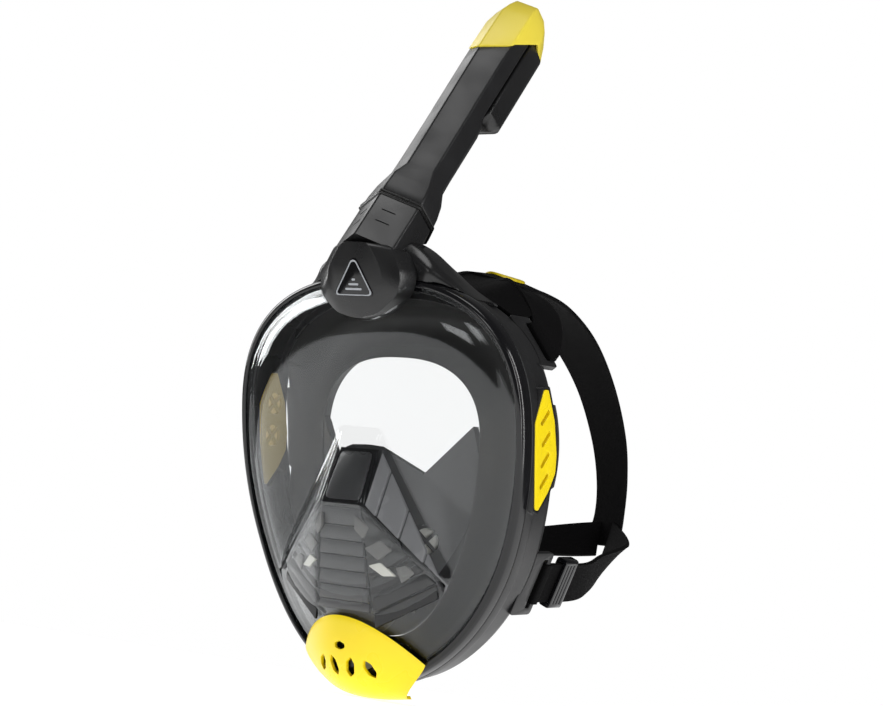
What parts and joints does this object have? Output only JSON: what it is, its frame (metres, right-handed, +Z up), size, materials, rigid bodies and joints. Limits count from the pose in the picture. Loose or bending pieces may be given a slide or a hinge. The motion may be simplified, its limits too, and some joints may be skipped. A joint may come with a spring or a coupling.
{
  "type": "full face snorkel mask",
  "caption": "Full face snorkel mask with a clear domed lens, soft face skirt with nose pocket, leaning dry-top snorkel, side vents and a head strap.",
  "frame": {"origin": "centre of the face seal: the rear plane of the skirt, on the symmetry plane, level with the lens's widest line", "axes": "+X to the wearer's left, +Y to the back of the head, +Z up along the mask"},
  "size_m": [0.198, 0.3046, 0.4187],
  "materials": {
    "clear_lens": "clear polished polycarbonate",
    "gloss_black": "glossy moulded plastic",
    "matt_charcoal": "fine-textured matt plastic",
    "dark_silicone": "satin silicone",
    "yellow_plastic": "satin moulded plastic",
    "yellow_rubber": "soft moulded rubber",
    "clear_silicone": "translucent silicone",
    "badge_grey": "printed light grey",
    "steel": "stainless screw heads",
    "black_rubber": "matt rubber",
    "float_foam": "closed-cell foam",
    "strap_webbing": "woven elastic webbing"
  },
  "bodies": {
    "root": {"lens": "clear_lens", "bezel": "gloss_black", "frame": "matt_charcoal", "inner_frame": "gloss_black", "skirt": "dark_silicone", "nose_pocket": "dark_silicone", "beak_grille": "matt_charcoal", "pocket_seat_left": "gloss_black", "pocket_seat_right": "gloss_black", "chin_cover": "yellow_plastic", "purge_seat": "gloss_black", "socket": "matt_charcoal", "socket_badge": "badge_grey", "socket_screws": "steel", "vent_cover_left": "yellow_plastic", "vent_cover_right": "yellow_plastic", "side_valve_seat_left": "gloss_black", "side_valve_seat_right": "gloss_black", "upper_clip_left": "matt_charcoal", "upper_clip_right": "matt_charcoal", "lower_clip_left": "matt_charcoal", "lower_clip_right": "matt_charcoal", "strap": "strap_webbing", "strap_patch": "yellow_rubber"},
    "snorkel": {"snorkel_tube": "matt_charcoal", "tube_divider": "gloss_black", "float_housing": "gloss_black", "dry_top_cap": "yellow_plastic", "socket_seal": "black_rubber"},
    "float": {"float": "float_foam", "float_seal": "black_rubber"},
    "pocket_valve_left": {"pocket_flap_left": "clear_silicone"},
    "pocket_valve_right": {"pocket_flap_right": "clear_silicone"},
    "purge_valve": {"purge_flap": "clear_silicone"},
    "side_valve_left_upper": {"side_flap_left_upper": "clear_silicone"},
    "side_valve_left_lower": {"side_flap_left_lower": "clear_silicone"},
    "side_valve_right_upper": {"side_flap_right_upper": "clear_silicone"},
    "side_valve_right_lower": {"side_flap_right_lower": "clear_silicone"},
    "slider_left": {"strap_slider_left": "matt_charcoal"},
    "slider_right": {"strap_slider_right": "matt_charcoal"}
  },
  "joints": [
    {"name": "snorkel_release", "type": "slide", "parent": "root", "child": "snorkel", "axis": [0, 0.6293, 0.7771], "range_m": [0, 0.03]},
    {"name": "float_rise", "type": "slide", "parent": "snorkel", "child": "float", "axis": [0, 0.6293, 0.7771], "range_m": [0, 0.018]},
    {"name": "pocket_valve_left_lift", "type": "slide", "parent": "root", "child": "pocket_valve_left", "axis": [-0.7391, 0.6655, -0.1045], "range_m": [0, 0.0015], "stiffness_N_per_m": 30},
    {"name": "pocket_valve_right_lift", "type": "slide", "parent": "root", "child": "pocket_valve_right", "axis": [0.7391, 0.6655, -0.1045], "range_m": [0, 0.0015], "stiffness_N_per_m": 30},
    {"name": "purge_valve_lift", "type": "slide", "parent": "root", "child": "purge_valve", "axis": [0, -1, 0], "range_m": [0, 0.0015], "stiffness_N_per_m": 30},
    {"name": "side_valve_left_upper_lift", "type": "slide", "parent": "root", "child": "side_valve_left_upper", "axis": [1, 0, 0], "range_m": [0, 0.0012], "stiffness_N_per_m": 30},
    {"name": "side_valve_left_lower_lift", "type": "slide", "parent": "root", "child": "side_valve_left_lower", "axis": [1, 0, 0], "range_m": [0, 0.0012], "stiffness_N_per_m": 30},
    {"name": "side_valve_right_upper_lift", "type": "slide", "parent": "root", "child": "side_valve_right_upper", "axis": [-1, 0, 0], "range_m": [0, 0.0012], "stiffness_N_per_m": 30},
    {"name": "side_valve_right_lower_lift", "type": "slide", "parent": "root", "child": "side_valve_right_lower", "axis": [-1, 0, 0], "range_m": [0, 0.0012], "stiffness_N_per_m": 30},
    {"name": "slider_left_travel", "type": "slide", "parent": "root", "child": "slider_left", "axis": [0, 1, 0], "range_m": [-0.008, 0.012]},
    {"name": "slider_right_travel", "type": "slide", "parent": "root", "child": "slider_right", "axis": [0, 1, 0], "range_m": [-0.008, 0.012]}
  ]
}
